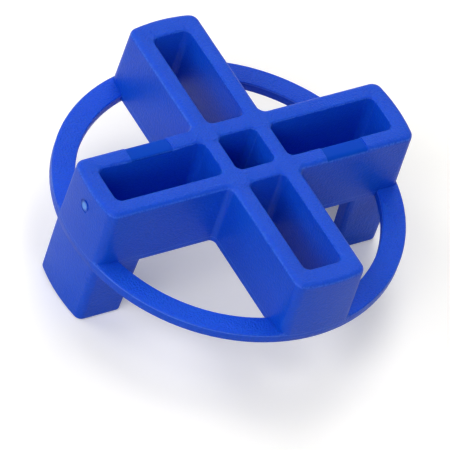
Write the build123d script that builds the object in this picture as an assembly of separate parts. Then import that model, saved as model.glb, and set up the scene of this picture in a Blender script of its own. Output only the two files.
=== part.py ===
from build123d import *
import math
import os

# A tile spacer moulded in one piece: a hollow cross stands on a thin ring, and two
# hollow feet stand below it, under the left and the right arm.
# Millimetres, +Z up. The origin lies on the floor under the middle of the cross.
# +X runs along the right arm and +Y along the rear arm.

# Nominal tile joint, which is the width of every arm at its top
joint_width = 10.0

# Ring that rests on the tiles
ring_diameter = 46.0
ring_band = 3.1
ring_thickness = 1.5
ring_edge_chamfer = 0.2

# Cross above the ring
arm_height = 9.05
arm_draft = 1.0
arm_tip_proud = 0.04
arm_tip_corner = 1.5
cross_inner_corner = 0.8
arm_top_edge = 0.7

# Underside of the cross, with the mould's parting line a little above it
parting_drop = 0.5
floor_thickness = 1.2
underside_draft = 0.7
underside_chamfer = 0.25

# Pockets in the cross, measured at their rims
arm_side_wall = 2.3
footed_arm_end_wall = 2.5
plain_arm_end_wall = 2.85
centre_pocket_side = 5.6
footed_arm_web = 2.05
plain_arm_web = 2.35
pocket_corner = 0.9
pocket_draft = 0.4
pocket_rim_chamfer = 0.3
pocket_floor_chamfer = 0.5

# Shallow steps in the rims of the left and right arm, for a size mark
mark_length = 6.1
mark_from_tip = 7.5
mark_depth = 0.15

# Feet below the ring, open at the bottom and towards the middle
foot_drop = 9.45
foot_draft = 0.45
foot_inset = 0.05
foot_length = 7.45
foot_inner_draft = 2.9
foot_tip_corner = 1.15
foot_inner_corner = 0.65
foot_bottom_edge = 0.45
foot_side_wall = 1.95
foot_end_wall = 2.4
foot_hollow_corner = 0.6

# Gate mark on the end of the left arm
gate_height = 6.0
gate_dish_diameter = 1.9
gate_dish_depth = 0.12
gate_stub_diameter = 1.4
gate_stub_height = 0.18

# Levels
ring_underside = foot_drop
ring_top = foot_drop + ring_thickness
cross_top = ring_top + arm_height
parting_level = ring_top - parting_drop
cross_underside = ring_top - floor_thickness

# Radii and half widths that follow
ring_outer_radius = ring_diameter / 2
ring_inner_radius = ring_outer_radius - ring_band


def shrink(height, draft):
    """Distance that a drafted wall moves over a height."""
    return height * math.tan(math.radians(draft))


upper_shrink = shrink(cross_top - parting_level, arm_draft)
arm_half_top = joint_width / 2
arm_half_parting = arm_half_top + upper_shrink
tip_radius_parting = ring_outer_radius + arm_tip_proud
tip_radius_top = tip_radius_parting - upper_shrink
pocket_half = arm_half_top - arm_side_wall
centre_half = centre_pocket_side / 2
mark_centre = tip_radius_top - mark_from_tip - mark_length / 2
foot_half_width = arm_half_parting - foot_inset
foot_tip_radius = ring_outer_radius - foot_inset
foot_inner_end = ring_outer_radius - foot_length


def facing_down(level):
    """Plane at a level whose normal points down."""
    return Plane(origin=(0, 0, level), x_dir=(1, 0, 0), z_dir=(0, 0, -1))


def cross_outline():
    """Outline of the cross at the parting line: four arms whose ends follow the ring."""
    arm = Rectangle(2 * ring_diameter, 2 * arm_half_parting)
    outline = (arm + Rot(0, 0, 90) * arm) & Circle(tip_radius_parting)
    near = outline.vertices().sort_by_distance((0, 0, 0))
    outline = fillet(near[:4], cross_inner_corner)
    far = outline.vertices().sort_by_distance((0, 0, 0))[-8:]
    return fillet(far, arm_tip_corner)


def drafted(solid, level, angle):
    """A prism with all its walls drafted, so that it narrows below a level."""
    walls = solid.faces().filter_by(Axis.Z, reverse=True)
    return draft(walls, facing_down(level), angle)


def tallest_edges(solid, count):
    """The edges of a solid that reach furthest up and down."""
    return solid.edges().sort_by(lambda edge: edge.bounding_box().size.Z)[-count:]


def rim_bevel(length, width, level):
    """Cutter that bevels the rim of one pocket in a top face at a level."""
    bevel = pocket_rim_chamfer
    mouth = RectangleRounded(length + 2 * bevel, width + 2 * bevel, pocket_corner + bevel)
    return extrude(facing_down(level) * mouth, 2 * bevel, taper=45)


def pocket_core(length, width, floor_level, rim_level, floor_chamfer=0):
    """Core of one pocket, centred on the origin: it narrows down from a bevelled rim."""
    rim = facing_down(cross_top) * Rectangle(length, width)
    core = drafted(extrude(rim, cross_top - floor_level), cross_top, pocket_draft)
    if floor_chamfer:
        core = chamfer(core.faces().sort_by(Axis.Z)[0].edges(), floor_chamfer)
    return fillet(tallest_edges(core, 4), pocket_corner) + rim_bevel(length, width, rim_level)


def blind_pockets(rim_level):
    """Cores of the pockets in the left arm, the centre and the right arm."""
    start = centre_half + footed_arm_web
    length = tip_radius_top - footed_arm_end_wall - start
    width = 2 * pocket_half
    side = centre_pocket_side
    arm_core = pocket_core(length, width, ring_top, rim_level, pocket_floor_chamfer)
    centre_core = pocket_core(side, side, ring_top, rim_level, pocket_floor_chamfer)
    reach = start + length / 2
    return [Pos(-reach, 0, 0) * arm_core, centre_core, Pos(reach, 0, 0) * arm_core]


def open_pockets(rim_level):
    """Cores of the pockets in the front and the rear arm, which pass right through."""
    start = centre_half + plain_arm_web
    length = tip_radius_top - plain_arm_end_wall - start
    below_ring = ring_underside - ring_thickness
    arm_core = pocket_core(2 * pocket_half, length, below_ring, rim_level)
    reach = start + length / 2
    return [Pos(0, -reach, 0) * arm_core, Pos(0, reach, 0) * arm_core]


def cross_shell(top_level):
    """The cross with its pockets and rounded edges, as high as a level."""
    outline = Pos(0, 0, parting_level) * cross_outline()
    shell = extrude(outline, top_level - parting_level, taper=arm_draft)
    below = facing_down(parting_level) * cross_outline()
    shell += extrude(below, parting_level - cross_underside, taper=underside_draft)
    for core in blind_pockets(top_level) + open_pockets(top_level):
        shell -= core
    shell = fillet(shell.faces().sort_by(Axis.Z)[-1].outer_wire().edges(), arm_top_edge)
    underside = shell.faces().sort_by(Axis.Z)[0]
    return chamfer(underside.outer_wire().edges(), underside_chamfer)


def mark_windows():
    """Boxes round the two steps: rear rim of the left arm, front rim of the right arm."""
    depth = mark_depth + arm_top_edge + pocket_rim_chamfer
    window = Box(mark_length, joint_width, 2 * depth)
    across = (joint_width + pocket_half) / 2
    rear_of_left = Pos(-mark_centre, across, cross_top) * window
    front_of_right = Pos(mark_centre, -across, cross_top) * window
    return [rear_of_left, front_of_right]


def marked_cross():
    """The cross with its rims lowered inside both windows."""
    shell = cross_shell(cross_top)
    lowered = cross_shell(cross_top - mark_depth)
    for window in mark_windows():
        shell = shell - window + (lowered & window)
    return shell


def ring():
    """The flat ring, with its four edges broken."""
    band = Circle(ring_outer_radius) - Circle(ring_inner_radius)
    solid = extrude(Pos(0, 0, ring_underside) * band, ring_thickness)
    return chamfer(solid.edges().filter_by(GeomType.CIRCLE), ring_edge_chamfer)


def foot():
    """The right foot before it is hollowed: drafted sides and a rounded bottom edge."""
    start = foot_inner_end - 2 * foot_tip_corner
    block = Pos(start + foot_length, 0) * Rectangle(2 * foot_length, 2 * foot_half_width)
    outline = block & Circle(foot_tip_radius)
    outline = fillet(outline.vertices(), foot_tip_corner)
    solid = extrude(facing_down(parting_level) * outline, parting_level)
    solid = drafted(solid, parting_level, foot_draft)
    lean = math.radians(foot_inner_draft)
    inner_end = Plane(
        origin=(foot_inner_end, 0, parting_level), z_dir=(math.cos(lean), 0, math.sin(lean))
    )
    solid = split(solid, bisect_by=inner_end, keep=Keep.TOP)
    inner_corners = tallest_edges(solid.faces().sort_by(Axis.X)[0], 2)
    solid = fillet(inner_corners, foot_inner_corner)
    return fillet(solid.faces().sort_by(Axis.Z)[0].outer_wire().edges(), foot_bottom_edge)


def foot_hollow():
    """Core of the right foot: open below and towards the middle, closed at the tip."""
    start = foot_inner_end - foot_end_wall
    length = foot_tip_radius - foot_end_wall - start
    width = 2 * (foot_half_width - foot_side_wall)
    block = Pos(start + length / 2, 0) * Rectangle(length, width)
    corners = block.vertices().sort_by(Axis.X)[-2:]
    outline = facing_down(cross_underside) * fillet(corners, foot_hollow_corner)
    return extrude(outline, cross_underside + foot_bottom_edge, taper=-foot_draft)


def gate_disc(diameter, height):
    """Disc on the end of the left arm that stands out from the bottom of the dish."""
    level = ring_top + gate_height
    face = tip_radius_parting - shrink(level - parting_level, arm_draft)
    spot = Plane(origin=(gate_dish_depth - face, 0, level), z_dir=(-1, 0, 0))
    return extrude(spot * Circle(diameter / 2), height)


def tile_spacer():
    """The whole spacer as one solid."""
    hollow = foot_hollow()
    hollows = [hollow, Rot(0, 0, 180) * hollow]
    band = ring()
    for core in open_pockets(cross_top) + hollows:
        band -= core
    spacer = marked_cross() + band
    for turn in (0, 180):
        spacer += Rot(0, 0, turn) * (foot() - hollow)
    spacer -= gate_disc(gate_dish_diameter, gate_dish_diameter)
    return spacer + gate_disc(gate_stub_diameter, gate_stub_height)


os.makedirs("parts", exist_ok=True)
export_step(tile_spacer(), "parts/tile_spacer.step")
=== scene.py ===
"""Looks of a moulded tile spacer: a hollow cross on a thin ring, with two hollow feet.

The spacer is one moulding, so it is one piece in one finish. The rest is the
studio: a pale floor, softboxes and a camera that looks down on the spacer.
"""

import logging
import math
from dataclasses import dataclass
from enum import Enum

import bmesh
import bpy
from mathutils import Matrix, Vector


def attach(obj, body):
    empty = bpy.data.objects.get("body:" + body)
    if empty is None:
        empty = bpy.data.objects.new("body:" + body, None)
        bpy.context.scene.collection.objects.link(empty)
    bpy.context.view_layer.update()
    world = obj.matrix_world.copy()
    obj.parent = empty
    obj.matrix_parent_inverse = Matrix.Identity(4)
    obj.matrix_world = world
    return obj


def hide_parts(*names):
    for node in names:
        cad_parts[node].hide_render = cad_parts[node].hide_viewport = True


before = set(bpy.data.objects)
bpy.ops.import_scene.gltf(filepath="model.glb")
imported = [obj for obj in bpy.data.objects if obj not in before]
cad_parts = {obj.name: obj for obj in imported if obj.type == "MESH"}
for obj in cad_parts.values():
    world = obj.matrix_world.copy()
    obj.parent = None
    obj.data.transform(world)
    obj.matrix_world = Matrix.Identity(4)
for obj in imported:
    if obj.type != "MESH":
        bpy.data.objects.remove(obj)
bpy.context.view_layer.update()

MM = 0.001
LOG = logging.getLogger("tile_spacer")

Socket = bpy.types.NodeSocket
Tree = bpy.types.NodeTree
Point = tuple[float, float, float]

# Places of a Mix node's colour sockets, whose names its other sockets share
BELOW, ABOVE, MIXED = 6, 7, 2

# Map Range's curve that eases in and out, for the soft edges of masks
SOFT_STEP = "SMOOTHSTEP"


def linear(hex_code: str) -> tuple[float, float, float, float]:
    """Turn an sRGB hex colour into linear light, by the standard's own curve.

    Args:
        hex_code: Colour as six hex digits after a hash sign.

    Returns:
        Red, green, blue and an alpha of 1.
    """
    parts = [int(hex_code[i : i + 2], 16) / 255 for i in (1, 3, 5)]
    red, green, blue = [p / 12.92 if p <= 0.04045 else ((p + 0.055) / 1.055) ** 2.4 for p in parts]
    return red, green, blue, 1.0


def add_node(
    tree: Tree, kind: str, inputs: dict[str | int, object] | None = None, **settings: object
) -> bpy.types.Node:
    """Add a shader node with its settings, values and links.

    Args:
        tree: Node tree that takes the node.
        kind: Blender's type name of the node, after ShaderNode.
        inputs: Value or output socket for each input, by its name or number.
        settings: Properties of the node itself.

    Returns:
        The new node.
    """
    node = tree.nodes.new("ShaderNode" + kind)
    for name, value in settings.items():
        setattr(node, name, value)
    for key, value in (inputs or {}).items():
        if isinstance(value, Socket):
            tree.links.new(value, node.inputs[key])
        else:
            node.inputs[key].default_value = value
    return node


def lines_of_sight(tree: Tree) -> tuple[Socket, Socket, Socket]:
    """Mark the rays that show a background: the camera's, and those of mirrors and glass.

    Args:
        tree: Node tree that takes the nodes.

    Returns:
        Sockets that are 1 for the camera, for reflections and clear pieces, and for both.
    """
    path = add_node(tree, "LightPath").outputs
    camera = path["Is Camera Ray"]
    bent = {0: path["Is Glossy Ray"], 1: path["Is Transmission Ray"]}
    mirrors = add_node(tree, "Math", bent, operation="MAXIMUM").outputs[0]
    seen = add_node(tree, "Math", {0: camera, 1: mirrors}, operation="MAXIMUM").outputs[0]
    return camera, mirrors, seen


@dataclass(frozen=True)
class MouldedPolypropylene:
    """Blue polypropylene, injection moulded in a steel mould.

    The walls slide along the mould, so they are satin and catch the pale floor at
    a slant. Level faces keep the grain of spark-eroded steel and look matt. Light
    seeps a little way into the plastic, which softens every rim, and the thin ring is
    painted a little lighter, as painted light shining through it. The colour runs
    uneven where the melt flowed, and its gate has a small pale spot with a painted
    shadow on one side. The rims get a pale line of painted highlight and the seam a
    line of painted sheen, and the two rims for a size mark, with hardly any sheen, are
    painted darker, as painted shade for the dark studio that they mirror.
    """

    name: str = "moulded_polypropylene"

    # Two blues of the pigment, which swirl together over about an arm's width
    deep: str = "#0548C9"
    light: str = "#0A52D6"
    flow_mm: float = 9.0
    flow_detail: float = 3.0

    # Satin walls and matt tops, with polypropylene's refraction. The sheen is weak: the
    # walls mirror the pale floor, and more of it would grey their blue
    wall_roughness: float = 0.4
    level_roughness: float = 0.5
    ior: float = 1.49
    gloss: float = 0.22

    # Light seeps in, blue furthest: share of red, green and blue in the depth
    glow: float = 0.45
    glow_depth_mm: float = 1.5
    glow_reach: Point = (0.1, 0.3, 1.0)

    # The grain that a spark-eroded mould leaves is under a tenth of a millimetre wide,
    # too fine to show here, so it is drawn several times coarser
    grain_mm: float = 0.26
    grain_detail: float = 2.0
    grain_height_mm: float = 0.22
    grain_contrast: float = 0.18
    wall_bump: float = 0.4
    top_bump: float = 0.85
    ring_bump: float = 1.0

    # The grain comes in where the surface turns level, by the normal's upright part
    level_starts: float = 0.75
    level_full: float = 0.97

    # The ring and the feet lie lower than the cross. The thin ring's level faces are
    # painted lighter: painted light, as if shining through from below
    thin_level_mm: float = 11.0
    thin_blend_mm: float = 0.3
    ring_painted_light_gain: float = 1.09

    # Painted highlight on the rims: a pale line between wall and level face. It starts, is
    # full, wanes and ends at these upright parts of the normal, and breaks where the grain's
    # noise is low
    rim_painted_highlight: str = "#5A93F2"
    rim_strength: float = 0.3
    rim_starts: float = 0.15
    rim_full: float = 0.4
    rim_wanes: float = 0.45
    rim_ends: float = 0.75
    rim_gap: float = 0.3
    rim_solid: float = 0.6

    # Rims for the size mark: painted darker, as painted shade for the dark studio that they
    # mirror, and with hardly any sheen. They lie where x times y is well below zero, which is
    # the rear left and the front right
    mark_painted_shade: str = "#0545BC"
    mark_gloss: float = 0.04
    mark_centre_mm: float = 12.32
    mark_half_mm: float = 3.05
    mark_level_mm: float = 19.55
    mark_edge_mm: float = 0.15
    mark_quadrant_mm2: float = 20.0

    # Gate on the left arm's end: a pale spot, with a painted shadow of its dish's rim on one side
    gate_pale: str = "#5F9BEE"
    gate_painted_shadow: str = "#0A42B0"
    gate_mm: Point = (-22.9, 0.0, 16.95)
    gate_shadow_mm: Point = (-22.9, 0.42, 17.05)
    gate_radius_mm: float = 0.68
    gate_core: float = 0.45

    # Seam of the mould's parting line on the walls: its sheen is painted as a thin pale line
    seam_painted_sheen: str = "#6C96F0"
    seam_level_mm: float = 10.75
    seam_half_mm: float = 0.07
    seam_strength: float = 0.4

    def material(self) -> bpy.types.Material:
        """Build the material.

        Returns:
            The finished material.
        """
        material = bpy.data.materials.new(self.name)
        material.use_nodes = True
        tree = material.node_tree
        tree.nodes.clear()
        place = add_node(tree, "TexCoord").outputs["Object"]
        along, across, height = add_node(tree, "SeparateXYZ", {0: place}).outputs[:3]
        normal = add_node(tree, "NewGeometry").outputs["Normal"]
        upright = add_node(tree, "SeparateXYZ", {0: normal}).outputs["Z"]
        grain = self.grain_noise(tree, place)
        level = self.level_mask(tree, upright)
        thin = self.thin_mask(tree, height)
        mark = self.mark_mask(tree, along, across, height)
        # The ring's level faces, which the pigment paints lighter as painted light shining through
        ring = add_node(tree, "Math", {0: thin, 1: level}, operation="MULTIPLY").outputs[0]
        colour = self.pigment(tree, place, grain, ring)
        # Tints: painted shade on the mark's rims, painted highlight on the rims, painted sheen on
        # the seam, and the gate's painted shadow and pale spot
        tints = (
            (mark, self.mark_painted_shade),
            (self.rim_highlight_mask(tree, upright, grain), self.rim_painted_highlight),
            (self.seam_mask(tree, height, level), self.seam_painted_sheen),
            (self.spot_mask(tree, place, self.gate_shadow_mm), self.gate_painted_shadow),
            (self.spot_mask(tree, place, self.gate_mm), self.gate_pale),
        )
        for mask, tint in tints:
            layers = {0: mask, BELOW: colour, ABOVE: linear(tint)}
            colour = add_node(tree, "Mix", layers, data_type="RGBA").outputs[MIXED]
        rough = {0: level, "To Min": self.wall_roughness, "To Max": self.level_roughness}
        shine = {0: mark, "To Min": self.gloss, "To Max": self.mark_gloss}
        look = {
            "Base Color": colour,
            "Roughness": add_node(tree, "MapRange", rough).outputs[0],
            "Normal": self.grain_bump(tree, thin, grain, level, mark),
            "IOR": self.ior,
            "Specular IOR Level": add_node(tree, "MapRange", shine).outputs[0],
            "Subsurface Weight": self.glow,
            "Subsurface Radius": self.glow_reach,
            "Subsurface Scale": self.glow_depth_mm * MM,
        }
        shader = add_node(tree, "BsdfPrincipled", look)
        add_node(tree, "OutputMaterial", {"Surface": shader.outputs[0]})
        return material

    def level_mask(self, tree: Tree, upright: Socket) -> Socket:
        """Mark the level faces, which the mould has grained.

        Args:
            tree: Node tree of the material.
            upright: Upright part of the surface's normal.

        Returns:
            A socket that is 1 on level faces and 0 on walls.
        """
        either_way = add_node(tree, "Math", {0: upright}, operation="ABSOLUTE").outputs[0]
        turn = {0: either_way, "From Min": self.level_starts, "From Max": self.level_full}
        return add_node(tree, "MapRange", turn, interpolation_type=SOFT_STEP).outputs[0]

    def rim_highlight_mask(self, tree: Tree, upright: Socket, grain: Socket) -> Socket:
        """Mark the rounded rims that face up, which get a pale line of painted highlight.

        Args:
            tree: Node tree of the material.
            upright: Upright part of the surface's normal.
            grain: The grain's noise, which breaks the pale line up.

        Returns:
            A socket that says how strongly the painted highlight shows.
        """
        limits = (
            {0: upright, "From Min": self.rim_starts, "From Max": self.rim_full},
            {
                0: upright,
                "From Min": self.rim_wanes,
                "From Max": self.rim_ends,
                "To Min": 1.0,
                "To Max": 0.0,
            },
            {0: grain, "From Min": self.rim_gap, "From Max": self.rim_solid},
        )
        rising, waning, broken = [
            add_node(tree, "MapRange", limit, interpolation_type=SOFT_STEP).outputs[0]
            for limit in limits
        ]
        highlight = rising
        for share in (waning, broken, self.rim_strength):
            highlight = add_node(tree, "Math", {0: highlight, 1: share}, operation="MULTIPLY").outputs[0]
        return highlight

    def thin_mask(self, tree: Tree, height: Socket) -> Socket:
        """Mark the ring and the feet, which lie lower than the cross.

        Args:
            tree: Node tree of the material.
            height: Height above the floor in metres.

        Returns:
            A socket that is 1 on the ring and the feet.
        """
        limit = {
            0: height,
            "From Min": self.thin_level_mm * MM,
            "From Max": (self.thin_level_mm + self.thin_blend_mm) * MM,
            "To Min": 1.0,
            "To Max": 0.0,
        }
        return add_node(tree, "MapRange", limit, interpolation_type=SOFT_STEP).outputs[0]

    def mark_mask(self, tree: Tree, along: Socket, across: Socket, height: Socket) -> Socket:
        """Mark the two lowered stretches of rim, rear left and front right.

        Args:
            tree: Node tree of the material.
            along: Distance along the left and right arms in metres.
            across: Distance along the front and rear arms in metres.
            height: Height above the floor in metres.

        Returns:
            A socket that is 1 on the two stretches.
        """
        outward = add_node(tree, "Math", {0: along}, operation="ABSOLUTE").outputs[0]
        shift = {0: outward, 1: self.mark_centre_mm * MM}
        beside = add_node(tree, "Math", shift, operation="SUBTRACT").outputs[0]
        from_centre = add_node(tree, "Math", {0: beside}, operation="ABSOLUTE").outputs[0]
        corner = add_node(tree, "Math", {0: along, 1: across}, operation="MULTIPLY").outputs[0]
        limits = (
            {
                0: from_centre,
                "From Min": (self.mark_half_mm - self.mark_edge_mm) * MM,
                "From Max": self.mark_half_mm * MM,
                "To Min": 1.0,
                "To Max": 0.0,
            },
            {
                0: corner,
                "From Min": -self.mark_quadrant_mm2 * MM * MM,
                "From Max": 0.0,
                "To Min": 1.0,
                "To Max": 0.0,
            },
            {
                0: height,
                "From Min": (self.mark_level_mm - self.mark_edge_mm) * MM,
                "From Max": self.mark_level_mm * MM,
            },
        )
        near, side, high = [
            add_node(tree, "MapRange", limit, interpolation_type=SOFT_STEP).outputs[0]
            for limit in limits
        ]
        window = near
        for share in (side, high):
            window = add_node(
                tree, "Math", {0: window, 1: share}, operation="MULTIPLY"
            ).outputs[0]
        return window

    def seam_mask(self, tree: Tree, height: Socket, level: Socket) -> Socket:
        """Mark the mould's parting line on the walls, where its sheen is painted as a thin pale
        line.

        Args:
            tree: Node tree of the material.
            height: Height above the floor in metres.
            level: Mask of the level faces.

        Returns:
            A socket that says how strongly the seam shows.
        """
        shift = {0: height, 1: self.seam_level_mm * MM}
        above = add_node(tree, "Math", shift, operation="SUBTRACT").outputs[0]
        limit = {
            0: add_node(tree, "Math", {0: above}, operation="ABSOLUTE").outputs[0],
            "From Min": 0.0,
            "From Max": self.seam_half_mm * MM,
            "To Min": 1.0,
            "To Max": 0.0,
        }
        seam = add_node(tree, "MapRange", limit, interpolation_type=SOFT_STEP).outputs[0]
        wall = add_node(tree, "Math", {0: 1.0, 1: level}, operation="SUBTRACT").outputs[0]
        for share in (wall, self.seam_strength):
            seam = add_node(tree, "Math", {0: seam, 1: share}, operation="MULTIPLY").outputs[0]
        return seam

    def spot_mask(self, tree: Tree, place: Socket, centre: Point) -> Socket:
        """Mark a round spot of the gate.

        Args:
            tree: Node tree of the material.
            place: Object coordinates in metres.
            centre: Middle of the spot in millimetres.

        Returns:
            A socket that is 1 in the middle of the spot.
        """
        ends = {0: place, 1: tuple(side * MM for side in centre)}
        limit = {
            0: add_node(tree, "VectorMath", ends, operation="DISTANCE").outputs["Value"],
            "From Min": self.gate_core * self.gate_radius_mm * MM,
            "From Max": self.gate_radius_mm * MM,
            "To Min": 1.0,
            "To Max": 0.0,
        }
        return add_node(tree, "MapRange", limit, interpolation_type=SOFT_STEP).outputs[0]

    def grain_noise(self, tree: Tree, place: Socket) -> Socket:
        """Draw the mould's grain, coarser than it is so that it shows.

        Args:
            tree: Node tree of the material.
            place: Object coordinates in metres.

        Returns:
            The noise's socket.
        """
        grit = {"Vector": place, "Scale": 1 / (self.grain_mm * MM), "Detail": self.grain_detail}
        return add_node(tree, "TexNoise", grit).outputs[0]

    def pigment(self, tree: Tree, place: Socket, grain: Socket, ring: Socket) -> Socket:
        """Blend the pigment's two blues along the flow, speckle them with the grain and paint
        the ring lighter, as painted light shining through it.

        Args:
            tree: Node tree of the material.
            place: Object coordinates in metres.
            grain: The grain's noise.
            ring: Mask of the ring's level faces, painted lighter as painted light shining through
                from below.

        Returns:
            The colour's socket.
        """
        swirl = {"Vector": place, "Scale": 1 / (self.flow_mm * MM), "Detail": self.flow_detail}
        flow = add_node(tree, "TexNoise", swirl).outputs[0]
        pair = {0: flow, BELOW: linear(self.deep), ABOVE: linear(self.light)}
        blues = add_node(tree, "Mix", pair, data_type="RGBA").outputs[MIXED]
        speckle = {0: grain, "To Min": 1 - self.grain_contrast, "To Max": 1 + self.grain_contrast}
        # The second gain paints the ring's level faces lighter, as painted light shining through
        gains = {
            0: add_node(tree, "MapRange", speckle).outputs[0],
            1: add_node(
                tree, "MapRange", {0: ring, "To Min": 1.0, "To Max": self.ring_painted_light_gain}
            ).outputs[0],
        }
        value = add_node(tree, "Math", gains, operation="MULTIPLY").outputs[0]
        return add_node(tree, "HueSaturation", {"Value": value, "Color": blues}).outputs[0]

    def grain_bump(
        self, tree: Tree, thin: Socket, grain: Socket, level: Socket, mark: Socket
    ) -> Socket:
        """Raise the grain, strongest on the ring, faint on walls and absent on the mark.

        Args:
            tree: Node tree of the material.
            thin: Mask of the ring and the feet.
            grain: The grain's noise.
            level: Mask of the level faces.
            mark: Mask of the mark's rims.

        Returns:
            The bumped normal's socket.
        """
        lower = {0: thin, "To Min": self.top_bump, "To Max": self.ring_bump}
        tops = add_node(tree, "MapRange", lower).outputs[0]
        turned = {0: level, "To Min": self.wall_bump, "To Max": tops}
        faces = add_node(tree, "MapRange", turned).outputs[0]
        grained = add_node(tree, "Math", {0: 1.0, 1: mark}, operation="SUBTRACT").outputs[0]
        relief = {
            "Height": grain,
            "Strength": add_node(
                tree, "Math", {0: faces, 1: grained}, operation="MULTIPLY"
            ).outputs[0],
            "Distance": self.grain_height_mm * MM,
        }
        return add_node(tree, "Bump", relief).outputs["Normal"]


@dataclass(frozen=True)
class PaleFloorPaint:
    """Matt pale floor paint, which shows as plain white and keeps the shadow.

    The camera, mirrors and glass see it paler than it is, and lifted a little, so
    that the background is white while little light bounces up at the object.
    """

    name: str = "pale_floor_paint"
    paint: str = "#C6C6C6"
    seen_paint: str = "#FCFAF6"
    lift_tint: str = "#FFFFFA"
    lift: float = 0.2
    mirrored_lift: float = 0.04

    def material(self) -> bpy.types.Material:
        """Build the material.

        Returns:
            The finished material.
        """
        material = bpy.data.materials.new(self.name)
        material.use_nodes = True
        tree = material.node_tree
        tree.nodes.clear()
        camera, mirrors, seen = lines_of_sight(tree)
        shares = [
            add_node(tree, "Math", {0: rays, 1: lift}, operation="MULTIPLY").outputs[0]
            for rays, lift in ((camera, self.lift), (mirrors, self.mirrored_lift))
        ]
        lifts = dict(enumerate(shares))
        strength = add_node(tree, "Math", lifts, operation="MAXIMUM").outputs[0]
        glow = {"Strength": strength, "Color": linear(self.lift_tint)}
        paints = {0: seen, BELOW: linear(self.paint), ABOVE: linear(self.seen_paint)}
        colour = add_node(tree, "Mix", paints, data_type="RGBA").outputs[MIXED]
        layers = {
            0: add_node(tree, "BsdfDiffuse", {"Color": colour}).outputs[0],
            1: add_node(tree, "Emission", glow).outputs[0],
        }
        surface = add_node(tree, "AddShader", layers).outputs[0]
        add_node(tree, "OutputMaterial", {"Surface": surface})
        return material


@dataclass
class Moulding:
    """The one-piece spacer: the frame's own solid, with its facets joined and smoothed."""

    node: str = "tile_spacer"
    body: str = "root"
    slot: str = "blue_plastic"
    merge_mm: float = 0.001
    sharpest_turn: float = 62.0
    flat_face_weight: int = 100
    finish: MouldedPolypropylene = MouldedPolypropylene()

    def build(self) -> bpy.types.Object:
        """Make the moulding and dress it.

        Returns:
            The finished piece.
        """
        mesh = self.joined_mesh()
        piece = bpy.data.objects.new("moulding", mesh)
        bpy.context.scene.collection.objects.link(piece)
        self.soften(piece)
        mesh.materials.append(self.finish.material())
        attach(piece, self.body)
        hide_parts(self.node)
        return piece

    def joined_mesh(self) -> bpy.types.Mesh:
        """Copy the node's facets into one closed skin, sharp only at its square edges.

        Returns:
            The joined mesh.
        """
        shape = bmesh.new()
        shape.from_mesh(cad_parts[self.node].data)
        bmesh.ops.remove_doubles(shape, verts=shape.verts, dist=self.merge_mm * MM)
        for face in shape.faces:
            face.smooth = True
        for edge in shape.edges:
            turn = edge.calc_face_angle(math.pi)
            edge.smooth = turn < math.radians(self.sharpest_turn)
        mesh = bpy.data.meshes.new("moulding")
        shape.to_mesh(mesh)
        shape.free()
        return mesh

    def soften(self, piece: bpy.types.Object) -> None:
        """Let the flat faces hold their shading, so that the bevels between look round.

        Args:
            piece: The moulding.
        """
        weighted = piece.modifiers.new("rounded_rims", "WEIGHTED_NORMAL")
        weighted.mode = "FACE_AREA"
        weighted.weight = self.flat_face_weight
        weighted.keep_sharp = True


@dataclass
class Floor:
    """The pale floor that the spacer stands on, with its radius in metres."""

    radius: float = 2.5
    sides: int = 96
    finish: PaleFloorPaint = PaleFloorPaint()

    def build(self) -> bpy.types.Object:
        """Lay the floor at the level of the feet.

        Returns:
            The floor.
        """
        mesh = bpy.data.meshes.new("floor")
        shape = bmesh.new()
        bmesh.ops.create_circle(shape, cap_ends=True, segments=self.sides, radius=self.radius)
        shape.to_mesh(mesh)
        shape.free()
        mesh.materials.append(self.finish.material())
        floor = bpy.data.objects.new("floor", mesh)
        bpy.context.scene.collection.objects.link(floor)
        return floor


class Lamp(Enum):
    """The softboxes: compass angle and height angle in degrees, width in metres, watts.

    The compass starts at the right arm and turns towards the rear arm.
    """

    KEY = (58.0, 62.0, 0.5, 1.9)
    REAR = (55.0, 34.0, 0.5, 1.0)
    TOP = (0.0, 88.0, 0.6, 1.2)
    REAR_LEFT = (136.0, 30.0, 0.6, 1.8)
    LEFT = (199.0, 37.0, 0.6, 3.2)
    FRONT = (266.0, 22.0, 0.5, 1.2)
    RIGHT = (345.0, 30.0, 0.5, 0.3)


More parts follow.
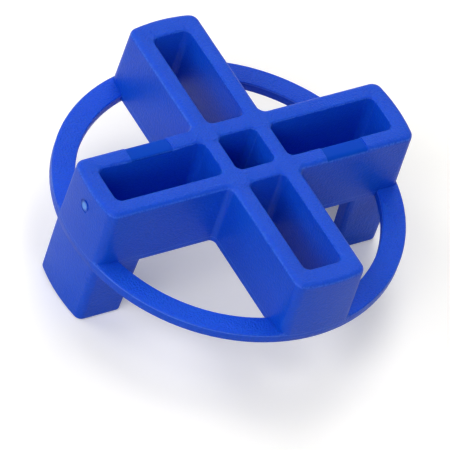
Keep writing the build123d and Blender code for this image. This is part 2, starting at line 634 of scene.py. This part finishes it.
@dataclass
class Studio:
    """Softboxes round the spacer and a surround that pales towards the floor.

    The reach is the lamps' distance in metres. The fill is the light that the
    surround gives. What is seen of it is white up to horizon_end and dims to the
    ceiling from there to ceiling_start, both as the height of the line of sight.
    """

    reach: float = 0.8
    fill: float = 0.05
    surround: str = "#FFFFFF"
    horizon: float = 1.0
    ceiling: float = 0.3
    horizon_end: float = 0.1
    ceiling_start: float = 0.6

    def build(self) -> None:
        """Hang the softboxes and set the surround."""
        for lamp in Lamp:
            self.hang(lamp)
        self.set_surround()

    def hang(self, lamp: Lamp) -> bpy.types.Object:
        """Hang one softbox so that it faces the spacer.

        Args:
            lamp: The softbox to hang.

        Returns:
            The lamp's object.
        """
        compass, height, width, power = lamp.value
        turn, rise = math.radians(compass), math.radians(height)
        towards = Vector(
            (math.cos(turn) * math.cos(rise), math.sin(turn) * math.cos(rise), math.sin(rise))
        )
        light = bpy.data.lights.new(lamp.name.lower(), "AREA")
        light.shape = "DISK"
        light.size = width
        light.energy = power
        placed = bpy.data.objects.new(light.name, light)
        placed.location = self.reach * towards
        placed.rotation_euler = towards.to_track_quat("Z", "Y").to_euler()
        bpy.context.scene.collection.objects.link(placed)
        return placed

    def set_surround(self) -> None:
        """Make a surround that is seen as white near the floor and gives little light."""
        world = bpy.data.worlds.new("surround")
        world.use_nodes = True
        tree = world.node_tree
        tree.nodes.clear()
        look = add_node(tree, "TexCoord").outputs["Generated"]
        limit = {
            0: add_node(tree, "SeparateXYZ", {0: look}).outputs["Z"],
            "From Min": self.horizon_end,
            "From Max": self.ceiling_start,
            "To Min": self.horizon,
            "To Max": self.ceiling,
        }
        shade = add_node(tree, "MapRange", limit, interpolation_type=SOFT_STEP).outputs[0]
        _, _, seen = lines_of_sight(tree)
        strengths = {0: seen, "A": self.fill, "B": shade}
        strength = add_node(tree, "Mix", strengths, data_type="FLOAT").outputs[0]
        shine = {"Color": linear(self.surround), "Strength": strength}
        light = add_node(tree, "Background", shine).outputs[0]
        add_node(tree, "OutputWorld", {"Surface": light})
        bpy.context.scene.world = world


@dataclass
class PhotoCamera:
    """Camera that looks down on the spacer from its front left, with a slight roll.

    The lens is in millimetres, the angles are in degrees, and the distance and the
    target are in metres.
    """

    lens: float = 586.97
    azimuth: float = -44.313
    elevation: float = 46.311
    roll: float = 20.03
    distance: float = 924.3 * MM
    target: Point = (-1.037 * MM, -2.108 * MM, 7.867 * MM)

    def build(self) -> bpy.types.Object:
        """Set up the camera.

        Returns:
            The camera.
        """
        turn = math.radians(self.azimuth)
        rise = math.radians(self.elevation)
        back = Vector(
            (math.sin(turn) * math.cos(rise), -math.cos(turn) * math.cos(rise), math.sin(rise))
        )
        upright = (-back).to_track_quat("-Z", "Y")
        lens = bpy.data.cameras.new("camera")
        lens.lens = self.lens
        camera = bpy.data.objects.new("camera", lens)
        rolled = upright.to_matrix() @ Matrix.Rotation(math.radians(self.roll), 3, "Z")
        camera.location = Vector(self.target) + self.distance * back
        camera.rotation_euler = rolled.to_euler()
        bpy.context.scene.collection.objects.link(camera)
        bpy.context.scene.camera = camera
        return camera


def main() -> None:
    """Build the spacer and the studio round it."""
    logging.basicConfig(level=logging.INFO, format="%(name)s: %(message)s")
    bpy.context.scene.view_settings.view_transform = "Standard"
    for part in (Moulding(), Floor(), Studio(), PhotoCamera()):
        part.build()
        LOG.info("built %s", type(part).__name__)


if __name__ == "__main__":
    main()
